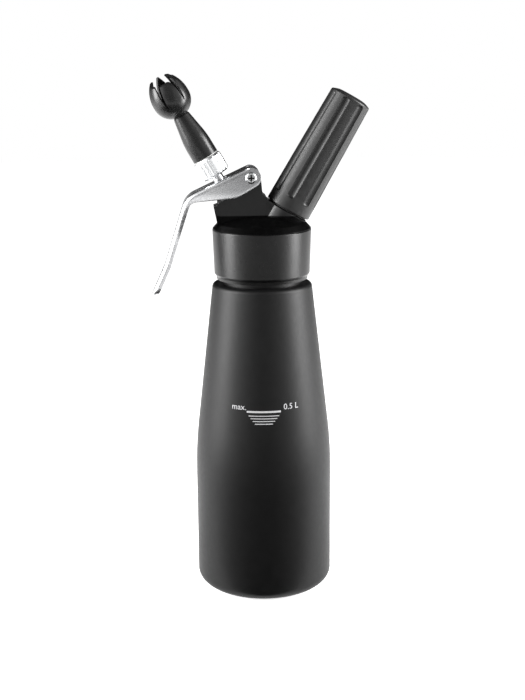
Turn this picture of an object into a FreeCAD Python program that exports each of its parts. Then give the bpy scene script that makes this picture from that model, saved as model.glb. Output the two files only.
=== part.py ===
import FreeCAD, Part
import math
import os
import re
import Sketcher

from FreeCAD import Placement, Rotation, Vector

# Whipped cream dispenser: a steel-lever head screwed on an aluminium bottle.
# Millimetres, +Z up, origin at the centre of the flat base.
# +X points to the charger holder, -X to the nozzle and the lever.

SIZES = {
    # Bottle
    "bottle_radius": 39.7,
    "base_corner": 6,
    "taper_start": 83,
    "taper_blend": 240,
    "shoulder_radius": 28.4,
    "shoulder_height": 180.4,
    "shoulder_round": 2.4,
    "bottle_wall": 1.5,
    "bottle_floor": 2,
    "shelf_thickness": 2.2,
    "neck_radius": 22.6,
    "neck_wall": 2.2,
    "neck_length": 19.6,
    "neck_lip": 0.6,
    "neck_thread_depth": 1,
    "neck_thread_pitch": 4,
    "neck_thread_width": 1.8,
    "neck_thread_start": 7,
    "neck_thread_length": 9,
    # Fits
    "thread_gap": 0.3,
    "thread_sink": 0.1,
    "fit_gap": 0.05,
    "press_gap": 0.02,
    "body_gap": 0.3,
    # Head gasket
    "gasket_thickness": 2.4,
    "gasket_width": 3.8,
    # Head body, heights from the ceiling that the gasket presses on
    "skirt_wall": 1.2,
    "collar_gap": 2.6,
    "flange_radius": 27.9,
    "flange_rise": 8.9,
    "flange_edge": 0.5,
    "dome_radius": 25.4,
    "dome_edge_rise": 12.1,
    "dome_corner": 13.2,
    "dome_rise": 17.2,
    "dome_round": 60,
    "block_half_width": 9,
    "block_root": 3.5,
    "block_left": 21.3,
    "block_top_left": 25.1,
    "block_top_left_rise": 23.8,
    "block_shelf_rise": 32.9,
    "block_right": 2.5,
    "block_crotch_rise": 27.2,
    "lug_radius": 4.1,
    "lug_back": 5.5,
    "lug_foot": 6.4,
    "lug_foot_drop": 9.2,
    "rib_half_width": 7,
    "rib_left": 23.5,
    "rib_top_left": 27.2,
    "rib_top_rise": 22,
    # Collar
    "collar_low_radius": 27.3,
    "collar_high_radius": 28.1,
    "collar_lip_radius": 26,
    "collar_lip_rise": 1.6,
    "collar_bevel_rise": 3.2,
    "collar_edge": 0.4,
    "collar_lip_step": 0.2,
    # Nozzle axis, from the ceiling and the bottle's axis
    "nozzle_x": -25.3,
    "nozzle_rise": 39.4,
    "nozzle_tilt": 30,
    # Valve stem, lengths measured down the nozzle axis from the adapter's lower face
    "stem_radius": 3.2,
    "stem_bore": 1.8,
    "stem_top": 9,
    "stem_seat": 40,
    "seat_gap": 0.15,
    "stem_spigot": 2,
    "valve_thickness": 2,
    "valve_radius": 5.6,
    "valve_pocket": 6.5,
    "valve_pocket_depth": 12,
    "valve_relief": 4.2,
    "valve_relief_length": 4.6,
    "cross_hole": 1.3,
    "cross_hole_depth": 37.6,
    "stem_nut_radius": 4.1,
    "stem_nut_height": 2.6,
    "stem_nut_set": 0.1,
    "seal_depth": 33,
    "seal_section": 0.45,
    "seal_stand": 0.03,
    "bush_radius": 4.6,
    "bush_top": 21,
    "bush_length": 7,
    "spring_pocket": 4.8,
    "spring_pocket_top": 13,
    "spring_mean_radius": 4.05,
    "spring_wire": 0.4,
    "spring_turns": 5,
    "spring_end_gap": 0.1,
    "thrust_radius": 5.6,
    "thrust_top": 5.3,
    "thrust_thickness": 1.8,
    # Nozzle adapter
    "adapter_radius": 8.3,
    "adapter_height": 11.1,
    "adapter_chamfer": 1.2,
    "adapter_top_chamfer": 0.8,
    "adapter_flutes": 12,
    "flute_cutter": 2.4,
    "flute_depth": 0.35,
    "adapter_stub": 5.5,
    "adapter_stub_length": 8,
    "adapter_bore": 2.4,
    "washer_radius": 7.2,
    "washer_thickness": 0.5,
    # Decorator nozzle
    "cone_radius": 7.5,
    "cone_belly_radius": 7.35,
    "cone_belly_height": 11,
    "cone_belly_round": 50,
    "cone_tip_radius": 4.8,
    "cone_length": 25.7,
    "cone_bore": 2.6,
    "socket_depth": 9,
    "bulb_neck": 4.3,
    "bulb_step": 0.9,
    "bulb_radius": 10.8,
    "bulb_low_corner": 4.2,
    "bulb_low_round": 10.4,
    "bulb_high_corner": 18,
    "bulb_high_round": 18.2,
    "bulb_length": 25,
    "mouth_radius": 5.2,
    "bulb_wall": 1.7,
    "mouth_slope": 22,
    "mouth_height": 23,
    "petals": 6,
    "slit_bottom": 7.5,
    "slit_root": 0.7,
    "slit_mouth": 4.4,
    "nozzle_clocking": 98.3,
    # Lever, in its own axes at the pivot
    "pivot_x": -6.25,
    "pivot_rise": 38.4,
    "lever_slope": 24.7,
    "ear_radius": 5.6,
    "sheet": 1.2,
    "web_length": 37.9,
    "web_bend": 12,
    "handle_length": 40.5,
    "handle_angle": 47.4,
    "handle_blend": 40,
    "grip_length": 19.5,
    "grip_kick": 7,
    "lip_depth": 3.7,
    "cheek_depth": 12.4,
    "cheek_reach": 12,
    "handle_half_width": 6.5,
    "taper_drop": 13,
    "taper_end_drop": 40,
    "tip_drop": 67.6,
    "tip_round": 5,
    "stem_hole": 4.3,
    "stem_hole_reach": 16.2,
    # Pivot
    "pivot_shank": 2,
    "pivot_head": 3.3,
    "pivot_head_height": 2,
    "pivot_head_round": 1.4,
    "pivot_bush_wall": 0.8,
    "recess_arm": 1.9,
    "recess_width": 0.8,
    "recess_depth": 1.1,
    "pivot_nut_height": 2.6,
    "pivot_shank_end": 1.8,
    # Charger axis
    "charger_x": 14.9,
    "charger_rise": 20,
    "charger_tilt": 30,
    "boss_radius": 12.4,
    "boss_gap": 0.8,
    "boss_depth": 14,
    # Charger port
    "port_stub": 9.8,
    "port_stub_length": 7,
    "port_stem": 8.4,
    "port_depth": 9,
    "port_bore": 4.8,
    "port_bore_depth": 3.5,
    "pin_hole": 2.6,
    "gas_pocket": 3,
    "gas_pocket_depth": 3,
    "gas_bore": 1.5,
    "gas_bore_x": 11,
    "gas_bore_rise": 11.5,
    "pin_flange": 3.8,
    "pin_flange_thickness": 1.1,
    "pin_spike": 1,
    "pin_point": 3.2,
    "pierce_gasket_top": 0.3,
    "port_seal_radius": 11.2,
    # Charger
    "cartridge_radius": 9,
    "cartridge_length": 65.5,
    "cartridge_tip": 0.5,
    "cartridge_neck": 4.35,
    "cartridge_neck_length": 7.9,
    "cartridge_shoulder": 5.8,
    "cartridge_wall": 1.4,
    "cartridge_end_round": 7.5,
    "pierce_hole": 1.35,
    # Charger holder
    "holder_low_radius": 13.25,
    "holder_high_radius": 11.95,
    "holder_length": 70.4,
    "holder_edge": 0.5,
    "holder_top_round": 1.1,
    "holder_crown": 1.5,
    "holder_crown_radius": 8,
    "holder_crown_round": 10,
    "holder_end": 3,
    "chamber_gap": 0.35,
    "sleeve_wall": 1.5,
    "sleeve_length": 9.2,
    "sleeve_recess": 0.4,
    "pad_thickness": 1.2,
    "holder_flutes": 8,
    "holder_flute_cutter": 3.1,
    "holder_flute_round": 1.4,
    "holder_flute_depth": 1.2,
    "holder_flute_start": 6.5,
    "holder_flute_end": 0.9,
    "holder_clocking": -15.7,
    # Check valve
    "umbrella_radius": 4.2,
    "umbrella_thickness": 1.2,
    "umbrella_stem": 1.2,
    "umbrella_stem_length": 5,
}

doc = FreeCAD.newDocument("cream_dispenser")
sheet = doc.addObject("Spreadsheet::Sheet", "sizes")
for row, (alias, size) in enumerate(SIZES.items(), start=1):
    sheet.set(f"A{row}", alias)
    sheet.set(f"B{row}", str(size))
    sheet.setAlias(f"B{row}", alias)
doc.recompute()

WORD = re.compile(r"\b[a-z]+(?:_[a-z]+)+\b|\bsheet\b|\bpetals\b")
UP = Vector(0, 0, 1)
CROSS_AXIS = Vector(0, 1, 0)

# Heights that several pieces share
NECK_TOP = "(shoulder_height + neck_length)"
CEILING = "(shoulder_height + neck_length + gasket_thickness)"
PIVOT_HEIGHT = f"({CEILING} + pivot_rise)"
SKIRT_BORE = "(neck_radius + neck_thread_depth + thread_gap)"
SKIRT_RADIUS = f"({SKIRT_BORE} + skirt_wall)"
COLLAR_BASE = "(shoulder_height + collar_gap)"
STEM_SEAT = "(0 - stem_seat)"
CONE_BASE = "(adapter_height + washer_thickness)"
BULB_BASE = f"({CONE_BASE} + cone_length)"
LEVER_INSIDE = "(block_half_width + body_gap)"
LEVER_OUTSIDE = f"({LEVER_INSIDE} + sheet)"


def formula(text):
    """The same formula, with each size read from the sheet."""
    return WORD.sub(lambda word: "sizes." + word.group(), str(text))


def value(text):
    return float(sheet.evalExpression(formula(text)))


def bind(thing, path, text):
    thing.setExpression(path, formula(text))


# Frames: the X and Z of an origin in the plane of symmetry, and a tilt to the left
UPRIGHT = ("0", "0", "0")
NOZZLE = ("nozzle_x", f"{CEILING} + nozzle_rise", "nozzle_tilt")
CHARGER = ("charger_x", f"{CEILING} + charger_rise", "0 - charger_tilt")
PIVOT = ("pivot_x", PIVOT_HEIGHT, "0")
LEVER = ("pivot_x", PIVOT_HEIGHT, "lever_slope")
GAS = ("gas_bore_x", CEILING, "0")


def place(thing, frame, clocking="0"):
    """Stands a piece that was made upright on a frame, turned about its own axis."""
    across, height, tilt = frame
    turn = Rotation(CROSS_AXIS, -value(tilt)).multiply(Rotation(UP, value(clocking)))
    thing.Placement = Placement(Vector(value(across), 0, value(height)), turn)


def new_body(label):
    body = doc.addObject("PartDesign::Body", label)
    body.Label = label
    return body


def origin_part(body, role):
    return next(part for part in body.Origin.OriginFeatures if part.Role == role)


def new_sketch(body, name, plane="XZ_Plane", frame=UPRIGHT):
    """A sketch on a plane of its body. In the XZ plane, across is +X and up is +Z."""
    sketch = body.newObject("Sketcher::SketchObject", name)
    sketch.AttachmentSupport = [(origin_part(body, plane), "")]
    sketch.MapMode = "FlatFace"
    across, height, tilt = frame
    sketch.AttachmentOffset = Placement(Vector(), Rotation(UP, 0))
    bind(sketch, "AttachmentOffset.Base.x", across)
    bind(sketch, "AttachmentOffset.Base.y", height)
    bind(sketch, "AttachmentOffset.Rotation.Angle", tilt)
    return sketch


def pin_point(sketch, geometry, position, across, up):
    """Fixes a sketch point at two formulas, or on an axis where one is zero."""
    if across == "0":
        sketch.addConstraint(Sketcher.Constraint("PointOnObject", geometry, position, -2))
    else:
        row = sketch.addConstraint(
            Sketcher.Constraint("DistanceX", -1, 1, geometry, position, value(across)))
        bind(sketch, f"Constraints[{row}]", across)
    if up == "0":
        sketch.addConstraint(Sketcher.Constraint("PointOnObject", geometry, position, -1))
    else:
        row = sketch.addConstraint(
            Sketcher.Constraint("DistanceY", -1, 1, geometry, position, value(up)))
        bind(sketch, f"Constraints[{row}]", up)


def draw_outline(sketch, corners):
    """Draws a closed outline. A corner is (across, up), or (across, up, rounding)."""
    count = len(corners)
    points = [Vector(value(corner[0]), value(corner[1]), 0) for corner in corners]
    starts, ends, arcs = [], [], {}
    for index, corner in enumerate(corners):
        point = points[index]
        before = (point - points[index - 1]).normalize()
        after = (points[(index + 1) % count] - point).normalize()
        if len(corner) == 2:
            ends.append(point)
            starts.append(point)
            continue
        turn = before.getAngle(after)
        radius = value(corner[2])
        reach = radius * math.tan(turn / 2)
        entry = point - before * reach
        leave = point + after * reach
        left = before.cross(after).z > 0
        side = Vector(-before.y, before.x, 0) * (1 if left else -1)
        centre = entry + side * radius
        first, last = (entry, leave) if left else (leave, entry)
        start_angle = math.atan2(first.y - centre.y, first.x - centre.x)
        end_angle = math.atan2(last.y - centre.y, last.x - centre.x)
        if end_angle < start_angle:
            end_angle += 2 * math.pi
        arcs[index] = (centre, radius, start_angle, end_angle, left)
        ends.append(entry)
        starts.append(leave)
    for index in range(count):
        line = Part.LineSegment(starts[index], ends[(index + 1) % count])
        sketch.addGeometry(line, False)
    for index, corner in enumerate(corners):
        line_in = (index - 1) % count
        line_out = index
        if index not in arcs:
            sketch.addConstraint(Sketcher.Constraint("Coincident", line_in, 2, line_out, 1))
            pin_point(sketch, line_out, 1, corner[0], corner[1])
            continue
        centre, radius, start_angle, end_angle, left = arcs[index]
        circle = Part.Circle(centre, UP, radius)
        arc = sketch.addGeometry(Part.ArcOfCircle(circle, start_angle, end_angle), False)
        entry_end, leave_end = (1, 2) if left else (2, 1)
        sketch.addConstraint(Sketcher.Constraint("Tangent", line_in, 2, arc, entry_end))
        sketch.addConstraint(Sketcher.Constraint("Tangent", line_out, 1, arc, leave_end))
        row = sketch.addConstraint(Sketcher.Constraint("Radius", arc, radius))
        bind(sketch, f"Constraints[{row}]", corner[2])
        peak = sketch.addGeometry(Part.Point(points[index]), True)
        sketch.addConstraint(Sketcher.Constraint("PointOnObject", peak, 1, line_in))
        sketch.addConstraint(Sketcher.Constraint("PointOnObject", peak, 1, line_out))
        pin_point(sketch, peak, 1, corner[0], corner[1])
    return sketch


def draw_circle(sketch, across, up, radius):
    centre = Vector(value(across), value(up), 0)
    circle = sketch.addGeometry(Part.Circle(centre, UP, value(radius)), False)
    pin_point(sketch, circle, 3, across, up)
    row = sketch.addConstraint(Sketcher.Constraint("Radius", circle, value(radius)))
    bind(sketch, f"Constraints[{row}]", radius)
    return sketch


def turned(body, name, corners, frame=UPRIGHT, cut=False):
    """A full turn of an outline about its frame's axis, added or cut."""
    sketch = draw_outline(new_sketch(body, name + "_outline", frame=frame), corners)
    kind = "PartDesign::Groove" if cut else "PartDesign::Revolution"
    feature = body.newObject(kind, name)
    feature.Profile = sketch
    feature.ReferenceAxis = (sketch, ["V_Axis"])
    feature.Angle = 360
    return feature


def turned_piece(label, corners, frame=UPRIGHT, clocking="0"):
    body = new_body(label)
    turned(body, label + "_turned", corners)
    place(body, frame, clocking)
    return body


def padded(body, name, corners, half_width, frame=UPRIGHT):
    """An outline in the plane of symmetry, thickened evenly to both sides."""
    sketch = draw_outline(new_sketch(body, name + "_outline", frame=frame), corners)
    pad = body.newObject("PartDesign::Pad", name)
    pad.Profile = sketch
    pad.Midplane = True
    bind(pad, "Length", f"2 * {half_width}")
    return pad


def cut_through(body, name, sketch, both_sides=True):
    pocket = body.newObject("PartDesign::Pocket", name)
    pocket.Profile = sketch
    pocket.Type = "ThroughAll"
    pocket.Midplane = both_sides
    return pocket


def repeat_around(body, name, feature, count):
    pattern = body.newObject("PartDesign::PolarPattern", name)
    pattern.Originals = [feature]
    pattern.Axis = (origin_part(body, "Z_Axis"), [""])
    pattern.Angle = 360
    bind(pattern, "Occurrences", count)
    body.Tip = pattern
    return pattern


def ring_seal(label, radius, section, height, frame):
    """An O-ring: a ring of round section about the frame's axis."""
    body = new_body(label)
    sketch = draw_circle(new_sketch(body, label + "_section"), radius, height, section)
    feature = body.newObject("PartDesign::Revolution", label + "_turned")
    feature.Profile = sketch
    feature.ReferenceAxis = (sketch, ["V_Axis"])
    feature.Angle = 360
    place(body, frame)
    return body


def helix(body, name, sketch, pitch, height):
    feature = body.newObject("PartDesign::AdditiveHelix", name)
    feature.Profile = sketch
    feature.ReferenceAxis = (sketch, ["V_Axis"])
    feature.Mode = "pitch-height-angle"
    bind(feature, "Pitch", pitch)
    bind(feature, "Height", height)
    feature.Angle = 0
    return feature


def make_bottle():
    """Drawn aluminium bottle, open inside, with a coarse thread on its neck."""
    inside = "(bottle_radius - bottle_wall)"
    neck_bore = "(neck_radius - neck_wall)"
    shelf = "(shoulder_height - shelf_thickness)"
    body = new_body("bottle")
    turned(body, "bottle_shell", [
        ("0", "0"),
        ("bottle_radius", "0", "base_corner"),
        ("bottle_radius", "taper_start", "taper_blend"),
        ("shoulder_radius", "shoulder_height", "shoulder_round"),
        ("neck_radius", "shoulder_height"),
        ("neck_radius", NECK_TOP, "neck_lip"),
        (neck_bore, NECK_TOP, "neck_lip"),
        (neck_bore, shelf),
        ("shoulder_radius - bottle_wall", shelf, "shoulder_round"),
        (inside, "taper_start", "taper_blend"),
        (inside, "bottle_floor", "base_corner - bottle_wall"),
        ("0", "bottle_floor"),
    ])
    doc.recompute()
    root = "(neck_radius - thread_sink)"
    crest = "(neck_radius + neck_thread_depth)"
    low = "(shoulder_height + neck_thread_start)"
    flank = "neck_thread_width / 4"
    profile = draw_outline(new_sketch(body, "neck_thread_profile"), [
        (root, low),
        (crest, f"{low} + {flank}"),
        (crest, f"{low} + neck_thread_width - {flank}"),
        (root, f"{low} + neck_thread_width"),
    ])
    helix(body, "neck_thread", profile, "neck_thread_pitch", "neck_thread_length")
    return body


def make_head_gasket():
    """Flat silicone ring that the head presses on the bottle's rim."""
    outside = f"({SKIRT_BORE} - body_gap)"
    return turned_piece("head_gasket", [
        (f"{outside} - gasket_width", NECK_TOP),
        (outside, NECK_TOP),
        (outside, CEILING),
        (f"{outside} - gasket_width", CEILING),
    ])


def make_head_body():
    """Moulded head: threaded skirt, dome, valve block with pivot lug, charger boss."""
    body = new_body("head_body")
    turned(body, "dome", [
        ("0", CEILING),
        (SKIRT_BORE, CEILING),
        (SKIRT_BORE, f"{COLLAR_BASE} + fit_gap"),
        (SKIRT_RADIUS, f"{COLLAR_BASE} + fit_gap"),
        (SKIRT_RADIUS, f"{CEILING} + flange_rise"),
        ("flange_radius", f"{CEILING} + flange_rise"),
        ("flange_radius", f"{CEILING} + flange_rise + flange_edge"),
        ("dome_radius", f"{CEILING} + dome_edge_rise"),
        ("dome_corner", f"{CEILING} + dome_rise", "dome_round"),
        ("0", f"{CEILING} + dome_rise"),
    ])
    lug_left = "(pivot_x - lug_radius)"
    lug_right = "(pivot_x + lug_back)"
    lug_top = f"({PIVOT_HEIGHT} + lug_radius)"
    lug_round = "lug_radius - fit_gap"
    padded(body, "block", [
        ("0 - block_left", f"{CEILING} + block_root"),
        ("block_right", f"{CEILING} + block_root"),
        ("block_right", f"{CEILING} + block_crotch_rise"),
        ("pivot_x + lug_foot", f"{PIVOT_HEIGHT} - lug_foot_drop"),
        (lug_right, f"{PIVOT_HEIGHT} + lug_radius / 8"),
        (lug_right, lug_top, lug_round + " - lug_radius / 8"),
        (lug_left, lug_top, lug_round),
        (lug_left, f"{CEILING} + block_shelf_rise"),
        ("0 - block_top_left", f"{CEILING} + block_top_left_rise"),
    ], "block_half_width")
    padded(body, "rib", [
        ("0 - rib_left", f"{CEILING} + block_root"),
        ("0 - block_left + block_root", f"{CEILING} + block_root"),
        ("0 - block_top_left + block_root", f"{CEILING} + rib_top_rise + lug_radius / 2"),
        ("0 - rib_top_left", f"{CEILING} + rib_top_rise"),
    ], "rib_half_width")
    turned(body, "charger_boss", [
        ("0", "0 - boss_depth"),
        ("boss_radius", "0 - boss_depth"),
        ("boss_radius", "0 - boss_gap", "boss_gap"),
        ("0", "0 - boss_gap"),
    ], CHARGER)
    bush_bore = "bush_radius + press_gap"
    stem_bore = "stem_radius + fit_gap"
    bush_foot = "0 - bush_top - bush_length"
    relief_top = f"{STEM_SEAT} + valve_relief_length"
    turned(body, "valve_bore", [
        ("0", "0 - spring_pocket_top"),
        ("spring_pocket", "0 - spring_pocket_top"),
        ("spring_pocket", "0 - bush_top"),
        (bush_bore, "0 - bush_top"),
        (bush_bore, bush_foot),
        (stem_bore, bush_foot),
        (stem_bore, relief_top),
        ("valve_relief", relief_top),
        ("valve_relief", STEM_SEAT),
        ("valve_pocket", STEM_SEAT),
        ("valve_pocket", f"{STEM_SEAT} - valve_pocket_depth"),
        ("0", f"{STEM_SEAT} - valve_pocket_depth"),
    ], NOZZLE, cut=True)
    turned(body, "port_bore", [
        ("0", "boss_gap"),
        ("port_stem + press_gap", "boss_gap"),
        ("port_stem + press_gap", "0 - port_depth"),
        ("gas_pocket", "0 - port_depth"),
        ("gas_pocket", "0 - port_depth - gas_pocket_depth"),
        ("0", "0 - port_depth - gas_pocket_depth"),
    ], CHARGER, cut=True)
    turned(body, "gas_bore", [
        ("0", "0 - block_root"),
        ("gas_bore", "0 - block_root"),
        ("gas_bore", "gas_bore_rise"),
        ("0", "gas_bore_rise"),
    ], GAS, cut=True)
    hole = draw_circle(new_sketch(body, "pivot_hole_circle", frame=PIVOT), "0", "0",
                       "pivot_shank + fit_gap + pivot_bush_wall + press_gap")
    cut_through(body, "pivot_hole", hole)
    return body


def make_head_collar():
    """Gloss ring pressed round the head's skirt."""
    return turned_piece("head_collar", [
        (f"{SKIRT_RADIUS} + fit_gap", COLLAR_BASE),
        ("collar_lip_radius", COLLAR_BASE),
        ("collar_lip_radius + collar_lip_step", f"{COLLAR_BASE} + collar_lip_rise"),
        ("collar_low_radius", f"{COLLAR_BASE} + collar_bevel_rise"),
        ("collar_high_radius", f"{CEILING} + flange_rise - fit_gap", "collar_edge"),
        (f"{SKIRT_RADIUS} + fit_gap", f"{CEILING} + flange_rise - fit_gap"),
    ])


def make_guide_bush():
    bottom = "0 - bush_top - bush_length"
    return turned_piece("guide_bush", [
        ("stem_radius + fit_gap", bottom),
        ("bush_radius", bottom),
        ("bush_radius", "0 - bush_top"),
        ("stem_radius + fit_gap", "0 - bush_top"),
    ], NOZZLE)


def make_return_spring():
    """Compression spring between the guide bush and the thrust collar."""
    body = new_body("return_spring")
    low = "(spring_wire + spring_end_gap - bush_top)"
    high = "(0 - thrust_top - thrust_thickness - spring_wire - spring_end_gap)"
    section = draw_circle(new_sketch(body, "spring_section"), "spring_mean_radius", low,
                          "spring_wire")
    helix(body, "spring_coils", section, f"({high} - {low}) / spring_turns",
          f"{high} - {low}")
    place(body, NOZZLE)
    return body


def make_valve_stem():
    """Hollow stem: cross holes low down, a groove for its seal, a spigot for the valve."""
    groove = "(stem_radius + seal_stand - seal_section * 2 - fit_gap)"
    groove_low = "0 - seal_depth - seal_section - fit_gap"
    groove_high = "0 - seal_depth + seal_section + fit_gap"
    foot = f"{STEM_SEAT} - seat_gap - valve_thickness - stem_nut_height"
    shoulder = f"{STEM_SEAT} - seat_gap + fit_gap"
    body = new_body("valve_stem")
    turned(body, "stem", [
        ("0", foot),
        ("stem_spigot", foot),
        ("stem_spigot", shoulder),
        ("stem_radius", shoulder),
        ("stem_radius", groove_low),
        (groove, groove_low),
        (groove, groove_high),
        ("stem_radius", groove_high),
        ("stem_radius", "stem_top"),
        ("stem_bore", "stem_top"),
        ("stem_bore", "0 - cross_hole_depth - cross_hole - body_gap"),
        ("0", "0 - cross_hole_depth - cross_hole - body_gap"),
    ])
    circle = draw_circle(new_sketch(body, "cross_hole_circle"), "0",
                         "0 - cross_hole_depth", "cross_hole")
    cut_through(body, "cross_holes", circle)
    place(body, NOZZLE)
    return body


def make_thrust_collar():
    low = "0 - thrust_top - thrust_thickness"
    return turned_piece("thrust_collar", [
        ("stem_radius + press_gap", low),
        ("thrust_radius", low),
        ("thrust_radius", "0 - thrust_top", "thrust_thickness / 3"),
        ("stem_radius + press_gap", "0 - thrust_top"),
    ], NOZZLE)


def make_valve_gasket():
    high = f"{STEM_SEAT} - seat_gap"
    return turned_piece("valve_gasket", [
        ("stem_spigot + press_gap", f"{high} - valve_thickness"),
        ("valve_radius", f"{high} - valve_thickness"),
        ("valve_radius", high),
        ("stem_spigot + press_gap", high),
    ], NOZZLE)


def make_valve_nut():
    """Hexagon nut that holds the valve gasket on the stem."""
    body = new_body("valve_nut")
    high = f"({STEM_SEAT} - seat_gap - valve_thickness - fit_gap)"
    sketch = new_sketch(body, "nut_outline", "XY_Plane")
    hexagon = [(f"stem_nut_radius * cos({60 * side + 30})",
                f"stem_nut_radius * sin({60 * side + 30})") for side in range(6)]
    hexagon = [("0" if side in (1, 4) else across, up)
               for side, (across, up) in enumerate(hexagon)]
    draw_outline(sketch, hexagon)
    draw_circle(sketch, "0", "0", "stem_spigot + press_gap")
    bind(sketch, "AttachmentOffset.Base.z", f"{high} - stem_nut_height + stem_nut_set")
    pad = body.newObject("PartDesign::Pad", "nut")
    pad.Profile = sketch
    bind(pad, "Length", "stem_nut_height - stem_nut_set")
    place(body, NOZZLE)
    return body


def make_nozzle_adapter():
    """Steel adapter screwed on the stem, with shallow flutes and a threaded stub."""
    body = new_body("nozzle_adapter")
    turned(body, "adapter_blank", [
        ("stem_radius + press_gap", "0"),
        ("adapter_radius - adapter_chamfer", "0"),
        ("adapter_radius", "adapter_chamfer"),
        ("adapter_radius", "adapter_height - adapter_chamfer"),
        ("adapter_radius - adapter_top_chamfer", "adapter_height"),
        ("adapter_stub", "adapter_height"),
        ("adapter_stub", "adapter_height + adapter_stub_length"),
        ("adapter_bore", "adapter_height + adapter_stub_length"),
        ("adapter_bore", "stem_top + fit_gap"),
        ("stem_radius + press_gap", "stem_top + fit_gap"),
    ])
    sketch = draw_circle(new_sketch(body, "flute_circle", "XY_Plane"),
                         "adapter_radius + flute_cutter - flute_depth", "0", "flute_cutter")
    pocket = body.newObject("PartDesign::Pocket", "flute")
    pocket.Profile = sketch
    pocket.Reversed = True
    bind(pocket, "Length", "adapter_height")
    doc.recompute()
    repeat_around(body, "flutes", pocket, "adapter_flutes")
    place(body, NOZZLE)
    return body


def make_nozzle_washer():
    low = "adapter_height + fit_gap"
    high = f"{CONE_BASE} - fit_gap"
    return turned_piece("nozzle_washer", [
        ("adapter_stub + thread_gap", low),
        ("washer_radius", low),
        ("washer_radius", high),
        ("adapter_stub + thread_gap", high),
    ], NOZZLE)


def make_decorator_nozzle():
    """Tulip nozzle: a tapered cone with a screw socket, and a bulb slit into petals."""
    socket = "(adapter_stub + thread_gap)"
    base = f"({BULB_BASE} + bulb_step)"
    inner = "(bulb_radius - bulb_wall)"
    tip = f"({BULB_BASE} + bulb_length)"
    body = new_body("decorator_nozzle")
    turned(body, "cone_and_bulb", [
        (socket, CONE_BASE),
        ("cone_radius", CONE_BASE),
        ("cone_belly_radius", f"{CONE_BASE} + cone_belly_height", "cone_belly_round"),
        ("cone_tip_radius", BULB_BASE),
        ("bulb_neck", base),
        ("bulb_radius", f"{BULB_BASE} + bulb_low_corner", "bulb_low_round"),
        ("bulb_radius", f"{BULB_BASE} + bulb_high_corner", "bulb_high_round"),
        ("mouth_radius", tip),
        ("mouth_radius - bulb_wall", tip),
        (inner, f"{BULB_BASE} + bulb_high_corner", "bulb_high_round - bulb_wall"),
        (inner, f"{BULB_BASE} + bulb_low_corner + bulb_wall / 2",
         "bulb_low_round - bulb_wall"),
        ("cone_bore", f"{base} + bulb_wall"),
        ("cone_bore", f"{CONE_BASE} + socket_depth"),
        (socket, f"{CONE_BASE} + socket_depth"),
    ])
    slit = draw_outline(new_sketch(body, "slit_outline"), [
        ("0 - slit_root / 2", f"{BULB_BASE} + slit_bottom"),
        ("slit_root / 2", f"{BULB_BASE} + slit_bottom"),
        ("slit_mouth / 2", f"{tip} + bulb_wall"),
        ("0 - slit_mouth / 2", f"{tip} + bulb_wall"),
    ])
    slit_cut = cut_through(body, "slit", slit, both_sides=False)
    doc.recompute()
    repeat_around(body, "slits", slit_cut, "petals")
    rise = "bulb_radius * tan(mouth_slope)"
    mouth = draw_outline(new_sketch(body, "mouth_outline"), [
        ("0 - bulb_radius", f"{BULB_BASE} + mouth_height - {rise}"),
        ("bulb_radius", f"{BULB_BASE} + mouth_height + {rise}"),
        ("bulb_radius", f"{tip} + bulb_length"),
        ("0 - bulb_radius", f"{tip} + bulb_length"),
    ])
    cut_through(body, "mouth", mouth)
    place(body, NOZZLE, "nozzle_clocking")
    return body


def extruded(name, corners, half_length, plane_turn, frame=UPRIGHT, along_x=False):
    """A loose outline thickened evenly to both sides of its plane."""
    sketch = doc.addObject("Sketcher::SketchObject", name + "_outline")
    across, height, tilt = (value(part) for part in frame)
    turn = plane_turn.multiply(Rotation(UP, tilt))
    origin = Vector(0, across, height) if along_x else Vector(across, 0, height)
    sketch.Placement = Placement(origin, turn)
    draw_outline(sketch, corners)
    solid = doc.addObject("Part::Extrusion", name)
    solid.Base = sketch
    solid.DirMode = "Normal"
    solid.Solid = True
    solid.Symmetric = True
    bind(solid, "LengthFwd", f"2 * {half_length}")
    return solid


def combined(kind, name, *shapes):
    """Part::Cut or Part::Common of two shapes, or a Part::MultiFuse of several."""
    result = doc.addObject(kind, name)
    if kind == "Part::MultiFuse":
        result.Shapes = list(shapes)
    else:
        result.Base, result.Tool = shapes
    return result


def drill(name, radius, half_length, centre, direction):
    cylinder = doc.addObject("Part::Cylinder", name)
    bind(cylinder, "Radius", radius)
    bind(cylinder, "Height", f"2 * {half_length}")
    turn = Rotation(UP, direction)
    cylinder.Placement = Placement(centre - direction * value(half_length), turn)
    return cylinder


def lever_path(offset):
    """Corner, knee and end of the lever's outer line, moved inwards by an offset."""
    grip_angle = "(handle_angle - grip_kick)"
    knee_across = "(0 - web_length - handle_length * cos(handle_angle))"
    knee_up = "(ear_radius - handle_length * sin(handle_angle))"
    end_across = f"({knee_across} - grip_length * cos{grip_angle})"
    end_up = f"({knee_up} - grip_length * sin{grip_angle})"
    mean_angle = "(handle_angle - grip_kick / 2)"
    return [
        (f"0 - web_length + {offset} * tan(handle_angle / 2)", f"ear_radius - {offset}"),
        (f"{knee_across} + {offset} * sin{mean_angle}",
         f"{knee_up} - {offset} * cos{mean_angle}"),
        (f"{end_across} + {offset} * sin{grip_angle}",
         f"{end_up} - {offset} * cos{grip_angle}"),
    ]


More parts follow.
